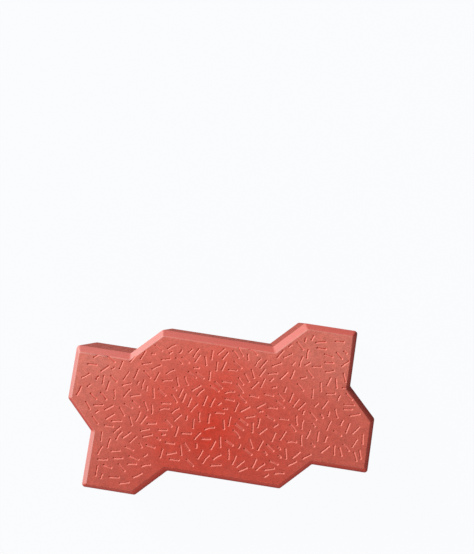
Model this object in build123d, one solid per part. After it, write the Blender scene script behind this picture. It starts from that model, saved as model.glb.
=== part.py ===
from build123d import *
from math import atan2, ceil, degrees, hypot
from random import Random
import os

os.makedirs("parts", exist_ok=True)

# Laying module, in millimetres
module_width = 112.5        # from end to end of one zigzag, which is the width of the module
zigzag_slope = 5.0          # a zigzag rises by one part in this many along its length
joint_gap = 3.0             # sand joint left between two stones

# Stone, in millimetres
thickness = 60.0            # height from the bed face to the wear face
chamfer_reach = 4.5         # how far the top chamfer reaches in over the wear face
chamfer_drop = 8.0          # how far it comes down the side
side_corner_radius = 2.5    # upright edges that stick out
side_nook_radius = 2.0      # upright edges that turn in
wear_corner_radius = 1.2    # outline of the wear face, where it sticks out
wear_nook_radius = 3.5      # outline of the wear face, where it turns in

# Grooves stamped in the wear face, in millimetres
groove_spacing = 16.0       # side of the square that each main groove has to itself
groove_length = 7.8
groove_width = 1.6
groove_depth = 0.6
groove_shift = 3.0          # how far a groove may lie off the middle of its square, along each side
groove_border = 3.0         # band along the chamfer that the middle line of a groove stays out of

# One zigzag is a straight run, a slant at 45 degrees and a second straight run
slant = module_width / hypot(zigzag_slope, 1.0)
run = (zigzag_slope - 1.0) * slant / 2
turn = degrees(atan2(1.0, zigzag_slope))

# Corners of the module, clockwise
# A long side is two zigzags in a row and a short side is one, each side turned by a right angle
here = Vector(0, 0, 0)
heading = 0.0
corners = []
nooks = []
for zigzags in (2, 1, 2, 1):
    corners.append(here)
    for count in range(zigzags):
        slant_start = here + Vector(run, 0, 0).rotate(Axis.Z, heading)
        slant_end = slant_start + Vector(slant, slant, 0).rotate(Axis.Z, heading)
        here = slant_end + Vector(run, 0, 0).rotate(Axis.Z, heading)
        corners.append(slant_start)
        corners.append(slant_end)
        nooks.append(slant_start)
    heading -= 90.0

# The long axis of the module is laid along X, with its centre at the origin
centre = (corners[0] + corners[len(corners) // 2]) * 0.5
corners = [(c - centre).rotate(Axis.Z, -turn) for c in corners]
nooks = [(c - centre).rotate(Axis.Z, -turn) for c in nooks]
module_outline = make_face(Polyline(*corners, close=True))


# An outline inside the module, with its corners and nooks rounded
def outline(inset, corner_radius, nook_radius):
    shape = offset(module_outline, amount=-inset, kind=Kind.INTERSECTION)
    inner_points = [shape.vertices().sort_by_distance(c)[0] for c in nooks]
    shape = fillet(inner_points, nook_radius)
    outer_corners = [c for c in corners if c not in nooks]
    outer_points = [shape.vertices().sort_by_distance(c)[0] for c in outer_corners]
    return fillet(outer_points, corner_radius)


# The stone's own outline is half a joint inside the module all round
side_outline = outline(joint_gap / 2, side_corner_radius, side_nook_radius)
wear_outline = outline(joint_gap / 2 + chamfer_reach, wear_corner_radius, wear_nook_radius)

# Sides, straight up from the bed face to the foot of the chamfer
sides = extrude(side_outline, amount=thickness - chamfer_drop, dir=(0, 0, 1))

# Chamfer, from its foot up to the wear face
chamfer_foot = Pos(0, 0, thickness - chamfer_drop) * side_outline
wear_face = Pos(0, 0, thickness) * wear_outline
crown = loft([chamfer_foot.face(), wear_face.face()], ruled=True)

# Main grooves, one in each square of a grid over the wear face
# Each one is shifted and turned by chance, and left out where it would come too near the chamfer
groove_field = outline(joint_gap / 2 + chamfer_reach + groove_border, wear_corner_radius, wear_nook_radius)
field_size = groove_field.bounding_box().size
columns = 2 * ceil(field_size.X / groove_spacing / 2)
rows = 2 * ceil(field_size.Y / groove_spacing / 2)
chance = Random(3)
grooves = []
for square in GridLocations(groove_spacing, groove_spacing, columns, rows):
    shift = Vector(chance.uniform(-groove_shift, groove_shift), chance.uniform(-groove_shift, groove_shift), 0)
    middle = square.position + shift
    heading = chance.uniform(0, 180)
    half_length = Vector(groove_length / 2, 0, 0).rotate(Axis.Z, heading)
    middle_line = (middle - half_length, middle, middle + half_length)
    if all(groove_field.face().is_inside(point) for point in middle_line):
        grooves.append(Location(middle, (0, 0, heading)) * Rectangle(groove_length, groove_width))
groove_floors = Pos(0, 0, thickness - groove_depth) * (Sketch() + grooves)

stone = sides + crown - extrude(groove_floors, amount=groove_depth, dir=(0, 0, 1))
stone.label = "paving_stone"
export_step(stone, "parts/paving_stone.step")
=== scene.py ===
import bmesh
import bpy
import math
import numpy as np
import random
from mathutils import Matrix, Vector
from mathutils.bvhtree import BVHTree


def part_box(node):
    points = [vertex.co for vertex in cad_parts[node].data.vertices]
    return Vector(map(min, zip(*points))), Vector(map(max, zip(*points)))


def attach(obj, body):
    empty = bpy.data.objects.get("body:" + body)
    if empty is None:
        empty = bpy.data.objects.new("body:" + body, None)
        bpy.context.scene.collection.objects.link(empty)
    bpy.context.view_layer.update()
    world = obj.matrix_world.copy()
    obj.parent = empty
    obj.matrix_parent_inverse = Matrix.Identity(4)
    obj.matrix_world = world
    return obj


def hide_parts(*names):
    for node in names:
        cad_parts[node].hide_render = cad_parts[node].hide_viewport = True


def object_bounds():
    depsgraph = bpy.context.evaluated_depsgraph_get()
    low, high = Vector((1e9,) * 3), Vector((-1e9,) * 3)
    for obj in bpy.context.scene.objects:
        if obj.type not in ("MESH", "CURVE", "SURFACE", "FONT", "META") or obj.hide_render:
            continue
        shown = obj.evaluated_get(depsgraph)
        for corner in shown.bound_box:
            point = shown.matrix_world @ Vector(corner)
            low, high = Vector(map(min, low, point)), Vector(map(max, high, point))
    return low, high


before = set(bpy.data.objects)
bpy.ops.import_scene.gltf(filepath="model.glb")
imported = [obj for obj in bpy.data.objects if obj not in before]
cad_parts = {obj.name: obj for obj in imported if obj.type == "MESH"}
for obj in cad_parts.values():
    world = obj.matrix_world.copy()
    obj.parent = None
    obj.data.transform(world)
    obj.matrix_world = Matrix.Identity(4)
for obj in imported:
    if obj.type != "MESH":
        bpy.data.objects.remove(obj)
cad_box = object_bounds()

# Paving stone
# One stone of concrete, coloured red right through. The damp mix is rammed in a steel mould,
# and the shoe of the ram forms the chamfer and stamps the short grooves of the wear face.
mm = 0.001
wear_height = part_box("paving_stone")[1].z
stone = bmesh.new()
stone.from_mesh(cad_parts["paving_stone"].data)
bmesh.ops.remove_doubles(stone, verts=stone.verts, dist=0.002 * mm)
bmesh.ops.dissolve_limit(
    stone,
    angle_limit=math.radians(0.5),
    verts=stone.verts,
    edges=stone.edges,
)

# the main grooves as the solid has them, each read from its level floor: the place of its
# middle, its heading in degrees and its length
grooves = []
for face in stone.faces:
    middle = face.calc_center_median()
    depth = wear_height - middle.z
    if face.normal.z > 0.99 and 0.1 * mm < depth < 2 * mm:
        side = max(face.edges, key=lambda e: e.calc_length())
        run = side.verts[1].co - side.verts[0].co
        heading = math.degrees(math.atan2(run.y, run.x)) % 180
        grooves.append((middle.x, middle.y, heading, run.length))
grooves.sort()

# the wear face is closed over them again, so that the pins below can stamp every groove
stamped = [f for f in stone.faces if f.calc_center_median().z > wear_height - 1 * mm]
bmesh.ops.delete(stone, geom=stamped, context="FACES")
open_rim = [e for e in stone.edges if e.is_boundary]
wear_face = bmesh.ops.holes_fill(stone, edges=open_rim, sides=0)["faces"][0]
if wear_face.normal.z < 0:
    wear_face.normal_flip()

# The middle lines of the added pins are meant to stay off a plain band along the chamfer, and
# this fails in places. The field below is the wear face drawn in by that band. Its outline
# crosses itself in ten places at the corners, and once cut into triangles it covers ground
# past the rim. So 9 pins leave no groove, and 10 grooves run into the arris, on the north and
# east sides.
plain_band = 4.2 * mm
stone.faces.index_update()
field = stone.copy()
field.faces.ensure_lookup_table()
field_face = field.faces[wear_face.index]
bmesh.ops.inset_region(field, faces=[field_face], thickness=plain_band, use_even_offset=True)
outside = [f for f in field.faces if f is not field_face]
bmesh.ops.delete(field, geom=outside, context="FACES")
reach = BVHTree.FromBMesh(field)
field.free()


def centre_line(x, y, heading, length):
    angle = math.radians(heading)
    half = Vector((math.cos(angle), math.sin(angle))) * length / 2
    return np.array([(x + half.x * t, y + half.y * t) for t in (-1, -0.5, 0, 0.5, 1)])


# between the main grooves the other pins lie at every angle, most of them aslant, and each
# keeps a few millimetres clear of the rest
chance = random.Random(11)
clear = 3.3 * mm
tries = 24000
full_length_share = 0.9
slants = ((34, 13), (34, 13), (56, 12), (85, 11), (131, 9), (180, 9))  # heading, spread
down = Vector((0, 0, -1))
taken = np.vstack([centre_line(*groove) for groove in grooves])
for attempt in range(tries):
    x = chance.uniform(cad_box[0][0], cad_box[1][0])
    y = chance.uniform(cad_box[0][1], cad_box[1][1])
    heading = chance.gauss(*chance.choice(slants))
    full_length = chance.random() < full_length_share
    length = (chance.uniform(7.4, 8.8) if full_length else chance.uniform(3.5, 5.5)) * mm
    line = centre_line(x, y, heading, length)
    if any(reach.ray_cast(Vector((*point, 1)), down)[0] is None for point in line):
        continue
    if np.linalg.norm(taken[:, None, :] - line[None, :, :], axis=2).min() < clear:
        continue
    grooves.append((x, y, heading, length))
    taken = np.vstack([taken, line])

# each pin is a thin bar between two round, deeper ends, with rounded edges
lead_in = 0.3 * mm  # how far the pins reach up out of the wear face
overhang = 0.25 * mm  # how far a pin's round ends reach past its groove's nominal length
shank_depth = 0.68  # of the depth at the two ends
steps = ((0.16, 0.05), (0.19, 0.16), (0.16, 0.19), (0.11, 0.15), (0.07, 0.07), (0.05, 0.03))
pins = bmesh.new()
for x, y, heading, length in grooves:
    end_radius = chance.uniform(1.06, 1.2) * mm
    waist = chance.uniform(0.74, 0.86)
    bow = chance.gauss(0, 0.22) * mm
    struck = chance.uniform(0.88, 1.06)
    reach_out = length / 2 + overhang - end_radius
    pin = bmesh.new()
    bmesh.ops.create_circle(
        pin,
        cap_ends=True,
        segments=12,
        radius=end_radius,
        matrix=Matrix.Rotation(math.radians(15), 4, "Z"),
    )
    for v in pin.verts:
        v.co.x += math.copysign(reach_out, v.co.x)

    # the flanks are cut in four, drawn in to a waist and bowed a little
    flanks = [e for e in pin.edges if abs(e.verts[0].co.x - e.verts[1].co.x) > reach_out]
    split = bmesh.ops.bisect_edges(pin, edges=flanks, cuts=3)["geom_split"]
    for v in split:
        if isinstance(v, bmesh.types.BMVert):
            v.co.x *= 2 * (reach_out - 0.8 * mm) / reach_out
            v.co.y *= waist
    for v in pin.verts:
        v.co.y += bow * max(0, 1 - abs(v.co.x) / reach_out)

    # the outline is drawn down to the wear face, and then stepped inwards to a round bottom
    bmesh.ops.extrude_face_region(pin, geom=pin.faces[:], use_keep_orig=True)
    tip = next(f for f in pin.faces if len(f.verts) == 18)
    for v in tip.verts:
        v.co.z -= lead_in
    pin.normal_update()
    bmesh.ops.recalc_face_normals(pin, faces=pin.faces)
    for inward, deeper in steps:
        bmesh.ops.inset_individual(
            pin,
            faces=[tip],
            thickness=inward * mm,
            depth=deeper * struck * mm,
        )
    for v in pin.verts:
        if v.co.z < -lead_in and abs(v.co.x) < reach_out - 0.5 * mm:
            v.co.z = -lead_in + (v.co.z + lead_in) * shank_depth
    lifted = Matrix.Translation((x, y, wear_height + lead_in))
    turned = Matrix.Rotation(math.radians(heading), 4, "Z")
    bmesh.ops.transform(pin, matrix=lifted @ turned, verts=pin.verts)
    one_pin = bpy.data.meshes.new("pin")
    pin.to_mesh(one_pin)
    pin.free()
    pins.from_mesh(one_pin)
    bpy.data.meshes.remove(one_pin)


def keep_mesh(name, bm):
    mesh = bpy.data.meshes.new(name)
    bm.to_mesh(mesh)
    bm.free()
    made = bpy.data.objects.new(name, mesh)
    bpy.context.scene.collection.objects.link(made)
    return made


# the arris between wear face and chamfer is a little round, by a guess: the photo is too
# coarse to show it
arris_round = 0.6 * mm
arris = [e for e in wear_face.edges if len(e.link_faces) == 2]
bmesh.ops.bevel(
    stone,
    geom=arris,
    offset=arris_round,
    offset_type="OFFSET",
    segments=3,
    profile=0.5,
    affect="EDGES",
    material=-1,
)
block = keep_mesh("pressed_stone", stone)
shoe = keep_mesh("shoe_pins", pins)
cast_concrete = bpy.data.materials.new("pressed_red_concrete")
struck_concrete = bpy.data.materials.new("red_concrete_under_the_pins")
block.data.materials.append(cast_concrete)
shoe.data.materials.append(struck_concrete)
stamp = block.modifiers.new("grooves", "BOOLEAN")
stamp.operation = "DIFFERENCE"
stamp.solver = "MANIFOLD"
stamp.material_mode = "TRANSFER"
stamp.object = shoe
bpy.context.view_layer.update()
finished = bpy.data.meshes.new_from_object(
    block.evaluated_get(bpy.context.evaluated_depsgraph_get())
)
block.modifiers.clear()
block.data = finished
bpy.data.objects.remove(shoe)

# round forms are shaded round, and the level and flat faces stay flat up to their edges
finished.shade_smooth()
finished.set_sharp_from_angle(angle=math.radians(36))
shaded = bmesh.new()
shaded.from_mesh(finished)
for e in shaded.edges:
    if len(e.link_faces) == 2:
        one, two = e.link_faces
        level = (one.normal.z > 0.9999) != (two.normal.z > 0.9999)
        broad = max(one.calc_area(), two.calc_area()) > 20 * mm * mm
        if level or (broad and one.normal.angle(two.normal) > 0.02):
            e.smooth = False
shaded.to_mesh(finished)
shaded.free()

# a pale film, strongest on the slopes that look north-west and half as strong on the floors
# of the grooves. It is fitted to the photo, whose light comes from the north-west, and it
# makes most of the grooves' bright lines. So part of that light is painted into the colour,
# and with the lamps on the other side the grooves fade. The photo does not show that the
# stone has such a film.
# painted highlight: the faces that look north-west, towards the window lamp, are painted paler,
# and the floors of the grooves take about half of it
highlight_paint = finished.attributes.new("painted_highlight", "FLOAT", "FACE")
north_west = Vector((-1, 1, 0)).normalized()
for face, value in zip(finished.polygons, highlight_paint.data):
    level_part = Vector((face.normal.x, face.normal.y, 0))
    in_groove = face.material_index == 1
    if in_groove:
        value.value = min(1, max(0, 0.55 + 0.75 * level_part.dot(north_west)))
    elif face.normal.z > 0.3 and level_part.length > 0.1:
        value.value = max(0, level_part.normalized().dot(north_west)) ** 1.5


def linear(hex_colour):
    out = []
    for i in (1, 3, 5):
        c = int(hex_colour[i : i + 2], 16) / 255
        out.append(c / 12.92 if c <= 0.04045 else ((c + 0.055) / 1.055) ** 2.4)
    return (*out, 1.0)


def node(tree, kind, settings=None, values=None, links=None):
    made = tree.nodes.new("ShaderNode" + kind)
    for key, value in (settings or {}).items():
        setattr(made, key, value)
    for key, value in (values or {}).items():
        made.inputs[key].default_value = value
    for key, source in (links or {}).items():
        tree.links.new(source, made.inputs[key])
    return made


# Pressed concrete, pigmented red with iron oxide and left as it comes from the mould: a dense
# matt skin, richest in colour at its heart and paler towards the rim, which is taken as lime
# bloom. The tones below are fitted to the photo, where colour and light can't be told apart.
blend = {"data_type": "RGBA"}
darken = {"data_type": "RGBA", "blend_type": "MULTIPLY"}
for concrete in (cast_concrete, struck_concrete):
    concrete.use_nodes = True
    tree = concrete.node_tree
    tree.nodes.clear()
    place = node(tree, "TexCoord").outputs["Object"]
    parts = node(tree, "SeparateXYZ", links={"Vector": place})
    height = parts.outputs["Z"]
    northing = parts.outputs["Y"]
    easting = parts.outputs["X"]

    # the bloom grows with the distance from the heart of the stone, unevenly, up to 110 mm off
    plan = node(
        tree,
        "VectorMath",
        {"operation": "MULTIPLY"},
        {1: (1.0, 1.0, 0.0)},
        {0: place},
    )
    off_heart = node(
        tree,
        "VectorMath",
        {"operation": "DISTANCE"},
        {1: (-12 * mm, -16 * mm, 0.0)},
        {0: plan.outputs[0]},
    )
    drift = node(
        tree,
        "TexNoise",
        values={"Scale": 26, "Detail": 3, "Roughness": 0.55},
        links={"Vector": place},
    )
    wander = node(
        tree,
        "MapRange",
        values={"From Min": 0.3, "From Max": 0.7, "To Min": -20 * mm, "To Max": 20 * mm},
        links={"Value": drift.outputs["Fac"]},
    )
    far = node(
        tree,
        "Math",
        {"operation": "ADD"},
        links={0: off_heart.outputs["Value"], 1: wander.outputs["Result"]},
    )
    bloom = node(
        tree,
        "MapRange",
        values={"From Min": -10 * mm, "From Max": 110 * mm},
        links={"Value": far.outputs[0]},
    )

    # in the photo the face is redder and darker to the south, most of all at the east end, and
    # paler to the north. The cause isn't known and may be the light.
    north_by_west = node(
        tree,
        "VectorMath",
        {"operation": "DOT_PRODUCT"},
        {1: (-0.25, 1.0, 0.0)},
        {0: place},
    )
    paler_to_north = node(
        tree,
        "MapRange",
        values={"From Min": -50 * mm, "From Max": 20 * mm, "To Min": 0.6, "To Max": 1.0},
        links={"Value": north_by_west.outputs["Value"]},
    )
    lime = node(
        tree,
        "Math",
        {"operation": "MULTIPLY"},
        links={0: bloom.outputs["Result"], 1: paler_to_north.outputs["Result"]},
    )
    skin = node(
        tree,
        "Mix",
        blend,
        {6: linear("#cb351d"), 7: linear("#ca6d5e")},
        {0: lime.outputs[0]},
    )
    # darker towards the south and lighter towards the north
    darker_to_south = node(
        tree,
        "MapRange",
        values={"From Min": -50 * mm, "From Max": 45 * mm, "To Min": 0.87, "To Max": 1.07},
        links={"Value": northing},
    )
    skin = node(
        tree,
        "Mix",
        darken,
        {0: 1.0},
        {6: skin.outputs[2], 7: darker_to_south.outputs["Result"]},
    )

    # cloudy blotches a centimetre across, mottling of 3 mm and single grains under a millimetre
    for scale, low, high in ((110, 0.96, 1.04), (340, 0.91, 1.09), (1100, 0.82, 1.18)):
        noise = node(
            tree,
            "TexNoise",
            values={"Scale": scale, "Detail": 2, "Roughness": 0.55},
            links={"Vector": place},
        )
        tone = node(
            tree,
            "MapRange",
            values={"From Min": 0.33, "From Max": 0.67, "To Min": low, "To Max": high},
            links={"Value": noise.outputs["Fac"]},
        )
        skin = node(
            tree,
            "Mix",
            darken,
            {0: 1.0},
            {6: skin.outputs[2], 7: tone.outputs["Result"]},
        )
    grains = noise

    # the painted highlight, read from the faces
    highlight_here = node(tree, "Attribute", {"attribute_name": "painted_highlight"})
    if concrete is struck_concrete:
        # painted shade: a purer, darker red below the lip darkens the shaded side of each
        # groove, with the painted highlight over it
        sunk = node(
            tree,
            "MapRange",
            values={"From Min": wear_height, "From Max": wear_height - 0.3 * mm},
            links={"Value": height},
        )
        painted_shade_share = node(
            tree,
            "Math",
            {"operation": "MULTIPLY"},
            {1: 0.9},
            {0: sunk.outputs["Result"]},
        )
        skin = node(
            tree,
            "Mix",
            blend,
            {7: linear("#cc2412")},
            {0: painted_shade_share.outputs[0], 6: skin.outputs[2]},
        )
        # painted highlight: a pale pink laid over the grooves' north-west faces and, at half
        # strength, their floors
        highlight_share = node(
            tree,
            "Math",
            {"operation": "MULTIPLY"},
            {1: 0.66},
            {0: highlight_here.outputs["Fac"]},
        )
        skin = node(
            tree,
            "Mix",
            blend,
            {7: linear("#f09c8b")},
            {0: highlight_share.outputs[0], 6: skin.outputs[2]},
        )
        rough = node(
            tree,
            "MapRange",
            values={"To Min": 0.7, "To Max": 0.5},
            links={"Value": sunk.outputs["Result"]},
        )
        relief = node(
            tree,
            "Bump",
            values={"Strength": 0.3, "Distance": 0.06 * mm},
            links={"Height": grains.outputs["Fac"]},
        )
    else:
        # a redder tone on the chamfer than on the face, as the photo has it
        slope = node(
            tree,
            "MapRange",
            values={
                "From Min": wear_height - 0.3 * mm,
                "From Max": wear_height - 0.9 * mm,
                "To Max": 0.8,
            },
            links={"Value": height},
        )
        skin = node(
            tree,
            "Mix",
            blend,
            {7: linear("#c83a29")},
            {0: slope.outputs["Result"], 6: skin.outputs[2]},
        )

        # away from the painted highlight the chamfer is painted lighter at its top and darker
        # at its foot: painted light above, painted shade below
        painted_light_and_shade = node(
            tree,
            "MapRange",
            values={
                "From Min": wear_height - 1 * mm,
                "From Max": wear_height - 8 * mm,
                "To Min": 1.25,
                "To Max": 0.55,
            },
            links={"Value": height},
        )
        light_and_shade_skin = node(
            tree,
            "Mix",
            darken,
            {0: 1.0},
            {6: skin.outputs[2], 7: painted_light_and_shade.outputs["Result"]},
        )
        bare = node(
            tree,
            "MapRange",
            values={"From Min": 0.0, "From Max": 0.5, "To Min": 1.0, "To Max": 0.0},
            links={"Value": highlight_here.outputs["Fac"]},
        )
        bare_slope = node(
            tree,
            "Math",
            {"operation": "MULTIPLY"},
            links={0: bare.outputs["Result"], 1: slope.outputs["Result"]},
        )
        skin = node(
            tree,
            "Mix",
            blend,
            links={0: bare_slope.outputs[0], 6: skin.outputs[2], 7: light_and_shade_skin.outputs[2]},
        )

        # the painted highlight on the chamfers that look north-west, in a pale pink, stronger
        # towards the west end, where they are palest
        highlight_west_weight = node(
            tree,
            "MapRange",
            values={"From Min": -110 * mm, "From Max": 90 * mm, "To Min": 0.78, "To Max": 0.36},
            links={"Value": easting},
        )
        highlight_share = node(
            tree,
            "Math",
            {"operation": "MULTIPLY"},
            links={0: highlight_here.outputs["Fac"], 1: highlight_west_weight.outputs["Result"]},
        )
        skin = node(
            tree,
            "Mix",
            blend,
            {7: linear("#d49f98")},
            {0: highlight_share.outputs[0], 6: skin.outputs[2]},
        )

        # the photo doesn't show the sides, so they have what the sides of such stones usually
        # have: upright drag marks from the mould, and open pores of up to a millimetre
        below = node(
            tree,
            "MapRange",
            values={"From Min": wear_height - 8 * mm, "From Max": wear_height - 9 * mm},
            links={"Value": height},
        )
        drawn = node(
            tree,
            "VectorMath",
            {"operation": "MULTIPLY"},
            {1: (1.0, 1.0, 0.06)},
            {0: place},
        )
        drag = node(
            tree,
            "TexNoise",
            values={"Scale": 420, "Detail": 3, "Roughness": 0.6},
            links={"Vector": drawn.outputs[0]},
        )
        pores = node(
            tree,
            "TexVoronoi",
            values={"Scale": 420, "Randomness": 1.0},
            links={"Vector": place},
        )
        pore_draw = node(tree, "SeparateXYZ", links={"Vector": pores.outputs["Color"]})
        pore_size = node(
            tree,
            "MapRange",
            values={"From Min": 0.4, "From Max": 1.0, "To Max": 0.5},
            links={"Value": pore_draw.outputs["X"]},
        )
        pore_rim = node(
            tree,
            "Math",
            {"operation": "SUBTRACT"},
            links={0: pores.outputs["Distance"], 1: pore_size.outputs["Result"]},
        )
        closed = node(
            tree,
            "MapRange",
            {"interpolation_type": "SMOOTHSTEP"},
            {"From Min": -0.3, "From Max": 0.06, "To Min": 0.35},
            {"Value": pore_rim.outputs[0]},
        )
        side_grain = node(
            tree,
            "Math",
            {"operation": "MULTIPLY"},
            links={0: closed.outputs["Result"], 1: drag.outputs["Fac"]},
        )
        # the pores are painted darker, which is painted shade in them, and the drag marks vary
        # the tone
        pore_shade_and_drag_tone = node(
            tree,
            "MapRange",
            values={"From Min": 0.1, "From Max": 0.6, "To Min": 0.74, "To Max": 1.06},
            links={"Value": side_grain.outputs[0]},
        )
        dusty = node(tree, "Mix", blend, {0: 0.4, 7: linear("#b4685a")}, {6: skin.outputs[2]})
        side_skin = node(
            tree,
            "Mix",
            darken,
            {0: 1.0},
            {6: dusty.outputs[2], 7: pore_shade_and_drag_tone.outputs["Result"]},
        )
        skin = node(
            tree,
            "Mix",
            blend,
            links={0: below.outputs["Result"], 6: skin.outputs[2], 7: side_skin.outputs[2]},
        )
        rough = node(
            tree,
            "MapRange",
            values={"To Min": 0.7, "To Max": 0.85},
            links={"Value": below.outputs["Result"]},
        )
        fine = node(
            tree,
            "Bump",
            values={"Strength": 0.5, "Distance": 0.1 * mm},
            links={"Height": grains.outputs["Fac"]},
        )
        coarse = node(
            tree,
            "Math",
            {"operation": "MULTIPLY"},
            links={0: side_grain.outputs[0], 1: below.outputs["Result"]},
        )
        relief = node(
            tree,
            "Bump",
            values={"Strength": 0.8, "Distance": 0.9 * mm},
            links={"Height": coarse.outputs[0], "Normal": fine.outputs[0]},
        )
    gloss = 0.2 if concrete is struck_concrete else 0.4
    shader = node(
        tree,
        "BsdfPrincipled",
        values={"Specular IOR Level": gloss},
        links={
            "Base Color": skin.outputs[2],
            "Roughness": rough.outputs["Result"],
            "Normal": relief.outputs[0],
        },
    )
    node(tree, "OutputMaterial", links={"Surface": shader.outputs[0]})

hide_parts("paving_stone")
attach(block, "root")

# Floor and light
# A plain pale floor in a dim, even room. Low light from a window comes from the upper left
# of the picture, and a weaker, broader glow comes off the wall below it. Their directions and
# strengths are fitted to the photo.
ground = bmesh.new()
bmesh.ops.create_grid(ground, x_segments=1, y_segments=1, size=3)
bmesh.ops.translate(ground, verts=ground.verts, vec=(0, 0, -0.05 * mm))
floor = keep_mesh("floor", ground)
paper = bpy.data.materials.new("pale_floor")
paper.use_nodes = True
tree = paper.node_tree
tree.nodes.clear()
paper_white = linear("#fcfdff")
matt = node(tree, "BsdfDiffuse", values={"Color": linear("#b4b4b4")})
seen_white = node(tree, "Emission", values={"Color": paper_white, "Strength": 1.0})
rays = node(tree, "LightPath")
share = node(
    tree,
    "Math",
    {"operation": "MULTIPLY"},
    {1: 0.975},
    {0: rays.outputs["Is Camera Ray"]},
)
surface = node(
    tree,
    "MixShader",
    links={0: share.outputs[0], 1: matt.outputs[0], 2: seen_white.outputs[0]},
)
node(tree, "OutputMaterial", links={"Surface": surface.outputs[0]})
floor.data.materials.append(paper)

lamp_distance = 3.0
lamp_rise = math.radians(30)
for name, bearing, size, strength in (
    ("window", 135, 0.75, 1.22),
    ("far_wall", 270, 2.0, 0.43),
):
    lamp = bpy.data.lights.new(name, "AREA")
    lamp.shape = "DISK"
    lamp.size = size
    lamp.energy = strength * math.pi**2 * lamp_distance**2
    hung = bpy.data.objects.new(name, lamp)
    bpy.context.scene.collection.objects.link(hung)
    rise = Matrix.Rotation(-lamp_rise, 4, "Y")
    turn = Matrix.Rotation(math.radians(bearing), 4, "Z")
    towards = (turn @ rise) @ Vector((1, 0, 0))
    hung.location = towards * lamp_distance
    hung.rotation_euler = towards.to_track_quat("Z", "Y").to_euler()

room = bpy.data.worlds.new("room")
bpy.context.scene.world = room
room.use_nodes = True
tree = room.node_tree
tree.nodes.clear()
dim = node(tree, "Background", values={"Color": linear("#ffffff"), "Strength": 0.2})
seen_white = node(tree, "Background", values={"Color": paper_white, "Strength": 1.0})
rays = node(tree, "LightPath")
surroundings = node(
    tree,
    "MixShader",
    links={0: rays.outputs["Is Camera Ray"], 1: dim.outputs[0], 2: seen_white.outputs[0]},
)
node(tree, "OutputWorld", links={"Surface": surroundings.outputs[0]})
bpy.context.scene.view_settings.view_transform = "Standard"

# Camera
# It looks almost straight down from half a metre, as the photo does, with the stone in the
# lower half of an upright picture.
eye = bpy.data.cameras.new("camera")
eye.sensor_width = 36
eye.lens = 36.39
eye.clip_start = 0.01
camera = bpy.data.objects.new("camera", eye)
bpy.context.scene.collection.objects.link(camera)
camera.location = (0.02053, 0.07033, 0.49696)
camera.rotation_euler = (math.radians(4.101), math.radians(0.58), math.radians(-2.612))
bpy.context.scene.camera = camera
